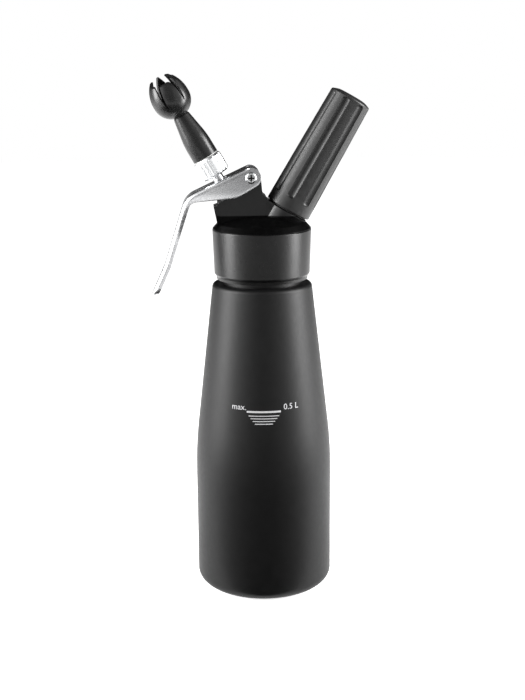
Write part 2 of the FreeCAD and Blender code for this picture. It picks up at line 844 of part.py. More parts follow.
def make_lever():
    """Pressed steel channel: web and cheeks at the pivot, a bent and tapered handle."""
    side = Rotation(Vector(1, 0, 0), 90)
    front = Rotation(Vector(1, 1, 1), 120)
    corner, knee, end = lever_path("0")
    low_corner, low_knee, low_end = lever_path("lip_depth")
    outer = extruded("lever_side", [
        ("fit_gap", "0 - ear_radius"),
        ("fit_gap", "ear_radius"),
        (*corner, "web_bend"),
        (*knee, "handle_blend"),
        end,
        low_end,
        (*low_knee, "handle_blend - lip_depth"),
        (*low_corner, "web_bend - lip_depth * 2"),
        ("0 - cheek_reach", "ear_radius - cheek_depth", "cheek_reach"),
    ], LEVER_OUTSIDE, side, LEVER)
    wide_up = f"{PIVOT_HEIGHT} + cheek_depth"
    taper_up = f"{PIVOT_HEIGHT} - taper_drop"
    narrow_up = f"{PIVOT_HEIGHT} - taper_end_drop"
    tip_up = f"{PIVOT_HEIGHT} - tip_drop"
    reach = "2 * web_length"
    plan = extruded("lever_front", [
        (f"0 - {LEVER_OUTSIDE}", wide_up),
        (f"0 - {LEVER_OUTSIDE}", taper_up, "taper_drop"),
        ("0 - handle_half_width", narrow_up, "taper_drop"),
        ("0 - handle_half_width", tip_up, "tip_round"),
        ("handle_half_width", tip_up, "tip_round"),
        ("handle_half_width", narrow_up, "taper_drop"),
        (LEVER_OUTSIDE, taper_up, "taper_drop"),
        (LEVER_OUTSIDE, wide_up),
    ], reach, front, UPRIGHT, along_x=True)
    in_corner, in_knee, in_end = lever_path("sheet")
    hollow_side = extruded("hollow_side", [
        ("fit_gap", "ear_radius + sheet"),
        ("fit_gap", "ear_radius - sheet"),
        (*in_corner, "web_bend - sheet"),
        (*in_knee, "handle_blend - sheet"),
        in_end,
        (f"{in_end[0]}", f"{in_end[1]} - handle_length"),
        ("web_length", f"{in_end[1]} - handle_length"),
        ("web_length", "ear_radius + sheet"),
    ], LEVER_INSIDE, side, LEVER)
    narrow = "(handle_half_width - sheet)"
    hollow_plan = extruded("hollow_front", [
        (f"0 - {LEVER_INSIDE}", wide_up),
        (f"0 - {LEVER_INSIDE}", taper_up, "taper_drop"),
        (f"0 - {narrow}", narrow_up, "taper_drop"),
        (f"0 - {narrow}", f"{tip_up} - tip_round"),
        (narrow, f"{tip_up} - tip_round"),
        (narrow, narrow_up, "taper_drop"),
        (LEVER_INSIDE, taper_up, "taper_drop"),
        (LEVER_INSIDE, wide_up),
    ], reach, front, UPRIGHT, along_x=True)
    pivot = Vector(value("pivot_x"), 0, value(PIVOT_HEIGHT))
    slope = math.radians(value("lever_slope"))
    along = Vector(math.cos(slope), 0, math.sin(slope))
    normal = Vector(-math.sin(slope), 0, math.cos(slope))
    web_point = pivot - along * value("stem_hole_reach") + normal * value("ear_radius")
    blank = combined("Part::Common", "lever_blank", outer, plan)
    hollow = combined("Part::Common", "lever_hollow", hollow_side, hollow_plan)
    channel = combined("Part::Cut", "lever_channel", blank, hollow)
    ears = drill("lever_ears", "ear_radius", LEVER_OUTSIDE, pivot, CROSS_AXIS)
    gap = drill("ear_gap", "ear_radius + sheet", LEVER_INSIDE, pivot, CROSS_AXIS)
    discs = combined("Part::Cut", "ear_discs", ears, gap)
    solid = combined("Part::MultiFuse", "lever_solid", channel, discs)
    pivot_hole = drill("lever_pivot_hole", "pivot_shank + fit_gap",
                       f"({LEVER_OUTSIDE} + sheet)", pivot, CROSS_AXIS)
    stem_hole = drill("lever_stem_hole", "stem_hole", "(sheet + stem_hole)", web_point, normal)
    drilled = combined("Part::Cut", "drilled_lever", solid, pivot_hole)
    lever = combined("Part::Cut", "lever", drilled, stem_hole)
    lever.Label = "lever"
    return lever


def across_pivot(body):
    """Lays a piece that was made upright along +Y at the pivot."""
    turn = Rotation(Vector(1, 0, 0), -90)
    body.Placement = Placement(Vector(value("pivot_x"), 0, value(PIVOT_HEIGHT)), turn)
    return body


def make_pivot_bush():
    bore = "pivot_shank + fit_gap"
    return across_pivot(turned_piece("pivot_bush", [
        (bore, "0 - block_half_width"),
        (f"{bore} + pivot_bush_wall", "0 - block_half_width"),
        (f"{bore} + pivot_bush_wall", "block_half_width"),
        (bore, "block_half_width"),
    ]))


def make_pivot_screw():
    """Round-headed screw through both cheeks, with a cross recess."""
    face = f"(0 - {LEVER_OUTSIDE} - fit_gap)"
    top = f"({face} - pivot_head_height)"
    body = new_body("pivot_screw")
    turned(body, "screw", [
        ("0", top),
        ("pivot_head", top, "pivot_head_round"),
        ("pivot_head", face),
        ("pivot_shank", face),
        ("pivot_shank", f"{LEVER_OUTSIDE} + pivot_shank_end"),
        ("0", f"{LEVER_OUTSIDE} + pivot_shank_end"),
    ])
    arm, half = "recess_arm", "recess_width / 2"
    low_arm, low_half = "0 - recess_arm", "0 - recess_width / 2"
    sketch = new_sketch(body, "recess_outline", "XY_Plane")
    bind(sketch, "AttachmentOffset.Base.z", top)
    draw_outline(sketch, [
        (half, half), (half, arm), (low_half, arm), (low_half, half),
        (low_arm, half), (low_arm, low_half), (low_half, low_half), (low_half, low_arm),
        (half, low_arm), (half, low_half), (arm, low_half), (arm, half),
    ])
    pocket = body.newObject("PartDesign::Pocket", "recess")
    pocket.Profile = sketch
    pocket.Reversed = True
    bind(pocket, "Length", "recess_depth")
    return across_pivot(body)


def make_pivot_nut():
    """Closed cap nut on the far end of the pivot screw."""
    face = f"({LEVER_OUTSIDE} + fit_gap)"
    bore = "pivot_shank + press_gap"
    return across_pivot(turned_piece("pivot_nut", [
        (bore, face),
        ("pivot_head", face),
        ("pivot_head", f"{face} + pivot_nut_height", "pivot_head_round"),
        ("0", f"{face} + pivot_nut_height"),
        ("0", f"{LEVER_OUTSIDE} + pivot_shank_end + fit_gap"),
        (bore, f"{LEVER_OUTSIDE} + pivot_shank_end + fit_gap"),
    ]))


def make_port_insert():
    """Metal insert in the boss: the thread that the holder screws on."""
    return turned_piece("port_insert", [
        ("pin_hole", "0 - port_depth"),
        ("port_stem", "0 - port_depth"),
        ("port_stem", "0 - boss_gap"),
        ("port_stub", "0 - boss_gap"),
        ("port_stub", "port_stub_length", "boss_gap"),
        ("port_bore", "port_stub_length"),
        ("port_bore", "0 - port_bore_depth"),
        ("pin_hole", "0 - port_bore_depth"),
    ], CHARGER)


def make_piercing_pin():
    seat = "0 - port_bore_depth"
    return turned_piece("piercing_pin", [
        ("0", "0 - port_depth + fit_gap"),
        ("pin_hole - press_gap", "0 - port_depth + fit_gap"),
        ("pin_hole - press_gap", seat),
        ("pin_flange", seat),
        ("pin_flange", f"{seat} + pin_flange_thickness"),
        ("pin_spike", f"{seat} + pin_flange_thickness"),
        ("pin_spike", "pin_point / 2"),
        ("0", "pin_point"),
    ], CHARGER)


def make_piercing_gasket():
    low = "pin_flange_thickness - port_bore_depth + press_gap"
    return turned_piece("piercing_gasket", [
        ("pin_spike + press_gap", low),
        ("port_bore - press_gap", low),
        ("port_bore - press_gap", "pierce_gasket_top"),
        ("pin_spike + press_gap", "pierce_gasket_top"),
    ], CHARGER)


def make_port_seal():
    section = "(boss_gap / 2 - fit_gap)"
    return ring_seal("port_seal", "port_seal_radius", section, "0 - boss_gap / 2", CHARGER)


def make_check_valve():
    """Rubber umbrella valve under the head: gas goes in and cream stays out."""
    return turned_piece("check_valve", [
        ("0", "0 - fit_gap - umbrella_thickness"),
        ("umbrella_radius", "0 - fit_gap - umbrella_thickness", "umbrella_thickness / 2"),
        ("umbrella_radius", "0 - fit_gap"),
        ("umbrella_stem", "0 - fit_gap"),
        ("umbrella_stem", "umbrella_stem_length"),
        ("0", "umbrella_stem_length"),
    ], GAS)


def make_charger():
    """Pierced steel gas charger, neck down on the pin."""
    tip = "cartridge_tip"
    neck_top = "(cartridge_tip + cartridge_neck_length)"
    belly = f"({neck_top} + cartridge_shoulder)"
    end = "(cartridge_tip + cartridge_length)"
    inside = "(cartridge_radius - cartridge_wall)"
    return turned_piece("charger", [
        ("pierce_hole", tip),
        ("cartridge_neck", tip, "cartridge_wall / 2"),
        ("cartridge_neck", neck_top, "cartridge_wall"),
        ("cartridge_radius", belly, "cartridge_shoulder / 2"),
        ("cartridge_radius", end, "cartridge_end_round"),
        ("0", end),
        ("0", f"{end} - cartridge_wall"),
        (inside, f"{end} - cartridge_wall", "cartridge_end_round - cartridge_wall"),
        (inside, f"{belly} + cartridge_wall / 2", "cartridge_wall"),
        ("cartridge_neck - cartridge_wall", f"{neck_top} + cartridge_wall / 2"),
        ("cartridge_neck - cartridge_wall", f"{tip} + cartridge_wall * 2"),
        ("pierce_hole", f"{tip} + cartridge_wall * 2"),
    ], CHARGER)


def make_charger_holder():
    """Fluted screw cap that holds the charger and presses it on the pin."""
    chamber = "(cartridge_radius + chamber_gap)"
    sleeve_bore = "(port_stub + thread_gap + sleeve_wall + press_gap)"
    ledge = "(sleeve_length + sleeve_recess)"
    body = new_body("charger_holder")
    turned(body, "holder_blank", [
        (sleeve_bore, "0"),
        ("holder_low_radius", "0", "holder_edge"),
        ("holder_high_radius", "holder_length", "holder_top_round"),
        ("holder_crown_radius", "holder_length + holder_crown", "holder_crown_round"),
        ("0", "holder_length + holder_crown"),
        ("0", "holder_length - holder_end"),
        (chamber, "holder_length - holder_end"),
        (chamber, ledge),
        (sleeve_bore, ledge),
    ])
    lean = "(atan((holder_low_radius - holder_high_radius) / holder_length))"
    beside = "holder_low_radius + holder_flute_cutter - holder_flute_depth"
    low = "holder_flute_start"
    high = "(holder_length - holder_flute_end)"
    flute = turned(body, "flute", [
        ("0", low),
        ("holder_flute_cutter", low, "holder_flute_round"),
        ("holder_flute_cutter", high, "holder_flute_round"),
        ("0", high),
    ], (beside, "0", lean), cut=True)
    doc.recompute()
    repeat_around(body, "flutes", flute, "holder_flutes")
    place(body, CHARGER, "holder_clocking")
    return body


def make_holder_sleeve():
    bore = "(port_stub + thread_gap)"
    return turned_piece("holder_sleeve", [
        (bore, "sleeve_recess"),
        (f"{bore} + sleeve_wall", "sleeve_recess"),
        (f"{bore} + sleeve_wall", "sleeve_recess + sleeve_length - press_gap"),
        (bore, "sleeve_recess + sleeve_length - press_gap"),
    ], CHARGER)


def make_holder_pad():
    top = "(holder_length - holder_end - press_gap)"
    return turned_piece("holder_pad", [
        ("0", f"{top} - pad_thickness"),
        ("cartridge_radius", f"{top} - pad_thickness"),
        ("cartridge_radius", top),
        ("0", top),
    ], CHARGER)


def make_stem_seal():
    radius = "stem_radius + seal_stand - seal_section"
    return ring_seal("stem_seal", radius, "seal_section", "0 - seal_depth", NOZZLE)


PIECES = [
    make_bottle(),
    make_head_gasket(),
    make_head_body(),
    make_head_collar(),
    make_guide_bush(),
    make_return_spring(),
    make_valve_stem(),
    make_thrust_collar(),
    make_stem_seal(),
    make_valve_gasket(),
    make_valve_nut(),
    make_nozzle_adapter(),
    make_nozzle_washer(),
    make_decorator_nozzle(),
    make_lever(),
    make_pivot_bush(),
    make_pivot_screw(),
    make_pivot_nut(),
    make_port_insert(),
    make_piercing_pin(),
    make_piercing_gasket(),
    make_port_seal(),
    make_check_valve(),
    make_charger(),
    make_charger_holder(),
    make_holder_sleeve(),
    make_holder_pad(),
]

doc.recompute()
for thing in doc.Objects:
    if "Invalid" in thing.State or "Error" in thing.State:
        raise RuntimeError(f"{thing.Name} failed: {thing.State}")
os.makedirs("parts", exist_ok=True)
for piece in PIECES:
    shape = piece.Shape
    if shape.isNull() or not shape.isValid() or len(shape.Solids) != 1:
        raise RuntimeError(f"{piece.Label} is not one sound solid")
    shape.exportStep(f"parts/{piece.Label}.step")
    print(piece.Label, round(shape.Volume, 1))
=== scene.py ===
import math

import bmesh
import bpy
from mathutils import Matrix, Vector


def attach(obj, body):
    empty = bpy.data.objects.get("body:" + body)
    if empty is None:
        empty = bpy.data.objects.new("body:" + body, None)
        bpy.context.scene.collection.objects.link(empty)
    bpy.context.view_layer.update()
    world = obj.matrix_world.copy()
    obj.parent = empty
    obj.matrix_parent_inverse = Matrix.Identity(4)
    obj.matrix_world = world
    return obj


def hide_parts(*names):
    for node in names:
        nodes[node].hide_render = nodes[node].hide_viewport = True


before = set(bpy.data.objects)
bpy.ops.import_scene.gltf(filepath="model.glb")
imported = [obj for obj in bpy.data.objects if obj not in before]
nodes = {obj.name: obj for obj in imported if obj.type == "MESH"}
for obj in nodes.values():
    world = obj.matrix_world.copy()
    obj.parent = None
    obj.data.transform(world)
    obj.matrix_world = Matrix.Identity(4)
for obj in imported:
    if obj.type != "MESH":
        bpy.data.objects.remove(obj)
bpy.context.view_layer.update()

MM = 0.001
PIVOT = Vector((-6.25, 0, 240.8))
SLOPE = math.radians(24.7)
SCREW_TOP = -12.55 * MM
SCREW_RECESS = 2.0 * MM
DOME_TOP = 219.6 * MM


# Materials

def socket(node, *names):
    """The first input of a node that has one of these names."""
    for name in names:
        if name in node.inputs:
            return node.inputs[name]
    raise KeyError(names)


class Finish:
    """A procedural material: uneven colour, uneven gloss and fine relief."""

    def __init__(self, name):
        self.material = bpy.data.materials.new(name)
        self.material.use_nodes = True
        tree = self.material.node_tree
        tree.nodes.clear()
        self.nodes, self.links = tree.nodes, tree.links
        self.shader = self.nodes.new("ShaderNodeBsdfPrincipled")
        output = self.nodes.new("ShaderNodeOutputMaterial")
        self.links.new(self.shader.outputs["BSDF"], output.inputs["Surface"])
        self.place = self.nodes.new("ShaderNodeTexCoord").outputs["Object"]

    def stretched(self, stretch, turn=(0, 0, 0)):
        mapping = self.nodes.new("ShaderNodeMapping")
        mapping.vector_type = "TEXTURE"
        mapping.inputs["Rotation"].default_value = turn
        mapping.inputs["Scale"].default_value = stretch
        self.links.new(self.place, mapping.inputs["Vector"])
        return mapping.outputs["Vector"]

    def noise(self, size, detail=3.0, stretch=None, turn=(0, 0, 0)):
        texture = self.nodes.new("ShaderNodeTexNoise")
        texture.inputs["Scale"].default_value = 1 / size
        texture.inputs["Detail"].default_value = detail
        place = self.stretched(stretch, turn) if stretch else self.place
        self.links.new(place, texture.inputs["Vector"])
        return texture.outputs["Fac"]

    def between(self, factor, low, high, start=0.3, end=0.7):
        ramp = self.nodes.new("ShaderNodeMapRange")
        ramp.inputs["From Min"].default_value = start
        ramp.inputs["From Max"].default_value = end
        ramp.inputs["To Min"].default_value = low
        ramp.inputs["To Max"].default_value = high
        self.links.new(factor, ramp.inputs["Value"])
        return ramp.outputs["Result"]

    def mixed(self, factor, first, second):
        mix = self.nodes.new("ShaderNodeMix")
        mix.data_type = "RGBA"
        colours = [s for s in mix.inputs if s.type == "RGBA"]
        for place, colour in zip(colours, (first, second)):
            if isinstance(colour, tuple):
                place.default_value = (*colour, 1)
            else:
                self.links.new(colour, place)
        self.links.new(factor, mix.inputs["Factor"])
        return next(s for s in mix.outputs if s.type == "RGBA")

    def colour(self, first, second, size, detail=3.0, **kw):
        factor = self.between(self.noise(size, detail, **kw), 0.0, 1.0)
        mixed = self.mixed(factor, first, second)
        self.links.new(mixed, self.shader.inputs["Base Color"])
        return mixed

    def gloss(self, low, high, size, **kw):
        self.links.new(self.between(self.noise(size, **kw), low, high),
                       self.shader.inputs["Roughness"])

    def relief(self, size, depth, strength=1.0, detail=2.0, **kw):
        bump = self.nodes.new("ShaderNodeBump")
        bump.inputs["Strength"].default_value = strength
        bump.inputs["Distance"].default_value = depth
        self.links.new(self.noise(size, detail, **kw), bump.inputs["Height"])
        if self.shader.inputs["Normal"].is_linked:
            before = self.shader.inputs["Normal"].links[0].from_socket
            self.links.new(before, bump.inputs["Normal"])
        self.links.new(bump.outputs["Normal"], self.shader.inputs["Normal"])

    def set(self, **values):
        for name, value in values.items():
            socket(self.shader, name.replace("_", " ")).default_value = value
        return self


def powder_coat():
    """Matte black powder coat: a faint orange peel with slightly uneven gloss."""
    made = Finish("powder_coat")
    made.colour((0.0016, 0.0016, 0.0017), (0.0026, 0.0026, 0.0027), 6 * MM)
    made.gloss(0.44, 0.49, 2.5 * MM)
    made.relief(0.55 * MM, 0.008 * MM, detail=3.0)
    made.relief(3.2 * MM, 0.02 * MM, detail=1.0)
    return made.set(Specular_IOR_Level=0.25).material


def lacquer(name, tone, low, high, level, grain=0.25, depth=0.008):
    """Black plastic or lacquer: tone, gloss range, reflection level and grain."""
    made = Finish(name)
    made.colour((tone * 0.8,) * 3, (tone * 1.2,) * 3, 3 * MM)
    made.gloss(low, high, 1.4 * MM)
    made.relief(grain * MM, depth * MM, detail=2.0)
    return made.set(Specular_IOR_Level=level).material


def head_lacquer():
    """Satin black moulding whose reflection level is cut on the dome under the valve block, as
    painted shade.
    """
    made = Finish("head_lacquer")
    made.colour((0.0012,) * 3, (0.0022,) * 3, 3 * MM)
    made.gloss(0.30, 0.38, 1.4 * MM)
    made.relief(0.22 * MM, 0.005 * MM)
    # Painted shade: below the dome's top the reflection level drops to almost nothing, where
    # shade falls under the valve block.
    split = made.nodes.new("ShaderNodeSeparateXYZ")
    made.links.new(made.place, split.inputs[0])
    level = made.between(split.outputs["Z"], 0.03, 0.4, DOME_TOP - 0.3 * MM, DOME_TOP + 0.2 * MM)
    made.links.new(level, socket(made.shader, "Specular IOR Level"))
    return made.material


def screw_metal():
    """Polished round-headed screw with painted shade on the walls of its cross recess."""
    made = Finish("polished_screw")
    split = made.nodes.new("ShaderNodeSeparateXYZ")
    made.links.new(made.place, split.inputs[0])
    # Painted shade: a mask for the deep part of the cross recess, close to the pivot axis.
    deep = made.between(split.outputs["Y"], 0.0, 1.0, SCREW_TOP + 0.25 * MM,
                        SCREW_TOP + 0.7 * MM)
    gap = made.nodes.new("ShaderNodeVectorMath")
    gap.operation = "DISTANCE"
    gap.inputs[1].default_value = PIVOT * MM
    flat = made.nodes.new("ShaderNodeCombineXYZ")
    made.links.new(split.outputs["X"], flat.inputs["X"])
    made.links.new(split.outputs["Z"], flat.inputs["Z"])
    made.links.new(flat.outputs[0], gap.inputs[0])
    inside = made.between(gap.outputs["Value"], 1.0, 0.0, SCREW_RECESS, SCREW_RECESS + 0.3 * MM)
    both = made.nodes.new("ShaderNodeMath")
    both.operation = "MULTIPLY"
    made.links.new(deep, both.inputs[0])
    made.links.new(inside, both.inputs[1])
    tone = made.mixed(made.between(made.noise(2 * MM), 0.0, 1.0), (0.86, 0.87, 0.88),
                      (0.78, 0.79, 0.80))
    # The recess's painted shade: near-black colour mixed over the metal's tone.
    dark = made.mixed(both.outputs[0], tone, (0.03, 0.03, 0.03))
    made.links.new(dark, made.shader.inputs["Base Color"])
    made.gloss(0.16, 0.22, 1.0 * MM)
    made.relief(0.2 * MM, 0.0004 * MM)
    return made.set(Metallic=1.0).material


def metal(name, light, dark, low, high, size=2.0, stretch=None, grain=0.12, depth=0.002):
    """Bare metal: two tones, gloss range, and a drawn or rolled grain."""
    made = Finish(name)
    made.colour(light, dark, size * MM, detail=4.0, stretch=stretch)
    made.gloss(low, high, size * MM, stretch=stretch)
    made.relief(grain * MM, depth * MM, detail=2.0, stretch=stretch)
    return made.set(Metallic=1.0).material


def rubber(name, tone, low=0.5, high=0.65):
    made = Finish(name)
    made.colour(tuple(c * 0.85 for c in tone), tuple(min(1, c * 1.15) for c in tone), 2 * MM)
    made.gloss(low, high, 1.0 * MM)
    made.relief(0.2 * MM, 0.01 * MM)
    return made.set(Specular_IOR_Level=0.35).material


def print_ink():
    """Pale grey screen print, a little thin in places."""
    made = Finish("print_ink")
    made.colour((0.36, 0.36, 0.37), (0.50, 0.50, 0.51), 0.6 * MM)
    made.gloss(0.45, 0.6, 0.8 * MM)
    made.relief(0.15 * MM, 0.006 * MM)
    return made.material


def lever_steel():
    """Satin stainless sheet, with a painted dark reflection round the pivot, and brighter along
    its worn edges.
    """
    made = Finish("lever_steel_satin")
    stretch = (10.0, 1.0, 1.0)
    turn = (0, -SLOPE, 0)
    streak = made.between(made.noise(0.35 * MM, 3.0, stretch=stretch, turn=turn), 0.0, 1.0)
    base = made.mixed(streak, (0.70, 0.71, 0.72), (0.78, 0.78, 0.79))
    # Painted reflection: the base colour turns dark grey towards the pivot, in place of the dark
    # reflection on the cheeks there.
    gap = made.nodes.new("ShaderNodeVectorMath")
    gap.operation = "DISTANCE"
    gap.inputs[1].default_value = PIVOT * MM
    made.links.new(made.place, gap.inputs[0])
    painted_reflection_fade = made.between(gap.outputs["Value"], 0.0, 1.0, 4 * MM, 26 * MM)
    pivot_painted_reflection = made.mixed(painted_reflection_fade, (0.34, 0.34, 0.35), base)
    edge = made.nodes.new("ShaderNodeAttribute")
    edge.attribute_name = "edge"
    worn = made.mixed(edge.outputs["Fac"], pivot_painted_reflection, (0.85, 0.85, 0.86))
    made.links.new(worn, made.shader.inputs["Base Color"])
    made.gloss(0.24, 0.30, 0.5 * MM, stretch=stretch, turn=turn)
    made.relief(0.09 * MM, 0.0004 * MM, stretch=stretch, turn=turn)
    return made.set(Metallic=1.0).material


FINISHES = {
    "powder_coat": powder_coat(),
    "collar": lacquer("collar_lacquer", 0.002, 0.27, 0.33, 0.3, 0.5),
    "head": head_lacquer(),
    "holder": lacquer("holder_plastic", 0.014, 0.34, 0.42, 0.35, 0.3, 0.004),
    "nozzle": lacquer("nozzle_plastic", 0.008, 0.24, 0.32, 0.35, 0.4, 0.003),
    "lever": lever_steel(),
    "polished": metal("polished_steel", (0.90, 0.91, 0.92), (0.84, 0.85, 0.86), 0.30, 0.38,
                      depth=0.0005),
    "screw": screw_metal(),
    "steel": metal("turned_steel", (0.62, 0.63, 0.64), (0.50, 0.50, 0.51), 0.18, 0.30,
                   stretch=(1.0, 1.0, 0.1)),
    "wire": metal("spring_wire", (0.50, 0.50, 0.51), (0.38, 0.38, 0.39), 0.25, 0.35),
    "charger": metal("plated_charger", (0.62, 0.63, 0.66), (0.54, 0.55, 0.57), 0.2, 0.3),
    "brass": metal("turned_brass", (0.70, 0.52, 0.24), (0.60, 0.43, 0.19), 0.2, 0.32),
    "silicone": rubber("red_silicone", (0.42, 0.05, 0.035), 0.4, 0.55),
    "rubber": rubber("black_rubber", (0.022, 0.022, 0.022)),
    "ptfe": rubber("white_ptfe", (0.72, 0.72, 0.70), 0.3, 0.4),
    "ink": print_ink(),
}

NODE_FINISH = {
    "bottle": "powder_coat",
    "head_gasket": "silicone",
    "head_body": "head",
    "head_collar": "collar",
    "guide_bush": "brass",
    "return_spring": "wire",
    "valve_stem": "steel",
    "thrust_collar": "steel",
    "stem_seal": "rubber",
    "valve_gasket": "silicone",
    "valve_nut": "steel",
    "nozzle_adapter": "polished",
    "nozzle_washer": "ptfe",
    "decorator_nozzle": "nozzle",
    "lever": "lever",
    "pivot_bush": "brass",
    "pivot_screw": "screw",
    "pivot_nut": "polished",
    "port_insert": "steel",
    "piercing_pin": "steel",
    "piercing_gasket": "rubber",
    "port_seal": "rubber",
    "check_valve": "silicone",
    "charger": "charger",
    "charger_holder": "holder",
    "holder_sleeve": "steel",
    "holder_pad": "rubber",
}

for name, finish in NODE_FINISH.items():
    for place in nodes[name].material_slots:
        place.material = FINISHES[finish]


# Mesh helpers

def new_object(name, mesh, material, body):
    made = bpy.data.objects.new(name, mesh)
    bpy.context.scene.collection.objects.link(made)
    made.data.materials.clear()
    made.data.materials.append(material)
    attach(made, body)
    return made


def applied(made):
    """Turns an object's modifiers into its mesh."""
    graph = bpy.context.evaluated_depsgraph_get()
    mesh = bpy.data.meshes.new_from_object(made.evaluated_get(graph), depsgraph=graph)
    made.modifiers.clear()
    made.data = mesh


def unit(x, z):
    length = math.hypot(x, z)
    return x / length, z / length


def rounded_path(corners, step=1.5, turn=math.radians(6)):
    """Points (x, z) along a polyline whose inner corners are (x, z, radius)."""
    points = [corners[0][:2]]
    for before, corner, after in zip(corners, corners[1:], corners[2:]):
        ax, az = unit(corner[0] - before[0], corner[1] - before[1])
        bx, bz = unit(after[0] - corner[0], after[1] - corner[1])
        angle = math.atan2(ax * bz - az * bx, ax * bx + az * bz)
        radius = corner[2]
        reach = radius * math.tan(abs(angle) / 2)
        side = math.copysign(1, angle)
        start = (corner[0] - ax * reach, corner[1] - az * reach)
        centre = (start[0] - az * side * radius, start[1] + ax * side * radius)
        count = max(2, math.ceil(abs(angle) / turn))
        for i in range(count + 1):
            a = angle * i / count
            dx, dz = start[0] - centre[0], start[1] - centre[1]
            points.append((centre[0] + dx * math.cos(a) - dz * math.sin(a),
                           centre[1] + dx * math.sin(a) + dz * math.cos(a)))
    points.append(corners[-1][:2])
    dense = [points[0]]
    for a, b in zip(points, points[1:]):
        count = max(1, math.ceil(math.dist(a, b) / step))
        dense += [(a[0] + (b[0] - a[0]) * i / count, a[1] + (b[1] - a[1]) * i / count)
                  for i in range(1, count + 1)]
    return dense


# Lever

ALONG = Vector((math.cos(SLOPE), 0, math.sin(SLOPE)))
ACROSS = Vector((-math.sin(SLOPE), 0, math.cos(SLOPE)))
EAR = 5.6
SHEET = 1.2
WEB = 37.9
HANDLE, HANDLE_ANGLE = 40.5, math.radians(47.4)
GRIP, GRIP_ANGLE = 19.5, math.radians(40.4)
LIP = 3.7
WIDE, NARROW = 10.5, 6.5
TIP_DROP, TIP_ROUND = 67.6, 5.0
BEND, HANDLE_BEND = 1.5, 2.3
BEND_START, BEND_RUN = 24.0, 16.0
WEB_ROUND, HANDLE_ROUND = 12, 40
CHEEK_REACH, CHEEK_DEPTH, CHEEK_ROUND = 12, 12.4, 12
PIVOT_HOLE, STEM_HOLE, STEM_REACH = 2.05, 4.3, 16.2
CHEEK_ROWS, BEND_ROWS, WEB_ROWS, EAR_STEPS = 9, 5, 9, 7


def bend_radius(x):
    """The sheet's bend grows from the cheeks to the handle."""
    share = min(1, max(0, (-x - BEND_START) / BEND_RUN))
    return BEND + (HANDLE_BEND - BEND) * share * share * (3 - 2 * share)


def lever_line(offset):
    """Corner, knee and end of the lever's outer line, moved inwards by an offset."""
    knee = (-WEB - HANDLE * math.cos(HANDLE_ANGLE), EAR - HANDLE * math.sin(HANDLE_ANGLE))
    end = (knee[0] - GRIP * math.cos(GRIP_ANGLE), knee[1] - GRIP * math.sin(GRIP_ANGLE))
    middle = (HANDLE_ANGLE + GRIP_ANGLE) / 2
    return [
        (-WEB + offset * math.tan(HANDLE_ANGLE / 2), EAR - offset),
        (knee[0] + offset * math.sin(middle), knee[1] - offset * math.cos(middle)),
        (end[0] + offset * math.sin(GRIP_ANGLE), end[1] - offset * math.cos(GRIP_ANGLE)),
    ]


def lever_half_width(height):
    """Half the lever's width at a height, as seen from the front."""
    drop = PIVOT.z - height
    start, end = 8.0, 38.0
    share = min(1, max(0, (drop - start) / (end - start)))
    width = WIDE + (NARROW - WIDE) * (1 - math.cos(math.pi * share)) / 2
    left = TIP_DROP - drop
    if left < TIP_ROUND:
        inset = TIP_ROUND - max(left, 0)
        width -= TIP_ROUND - math.sqrt(max(TIP_ROUND ** 2 - inset ** 2, 0))
    return width


def depth_to(line, point, normal):
    """How far a point is from a line, along a direction."""
    best = None
    for a, b in zip(line, line[1:]):
        ex, ez = b[0] - a[0], b[1] - a[1]
        cross = normal[0] * ez - normal[1] * ex
        if abs(cross) < 1e-9:
            continue
        rx, rz = a[0] - point[0], a[1] - point[1]
        t = (rx * ez - rz * ex) / cross
        u = (rx * normal[1] - rz * normal[0]) / cross
        if -1e-6 <= u <= 1 + 1e-6 and t > 0 and (best is None or t < best):
            best = t
    return best


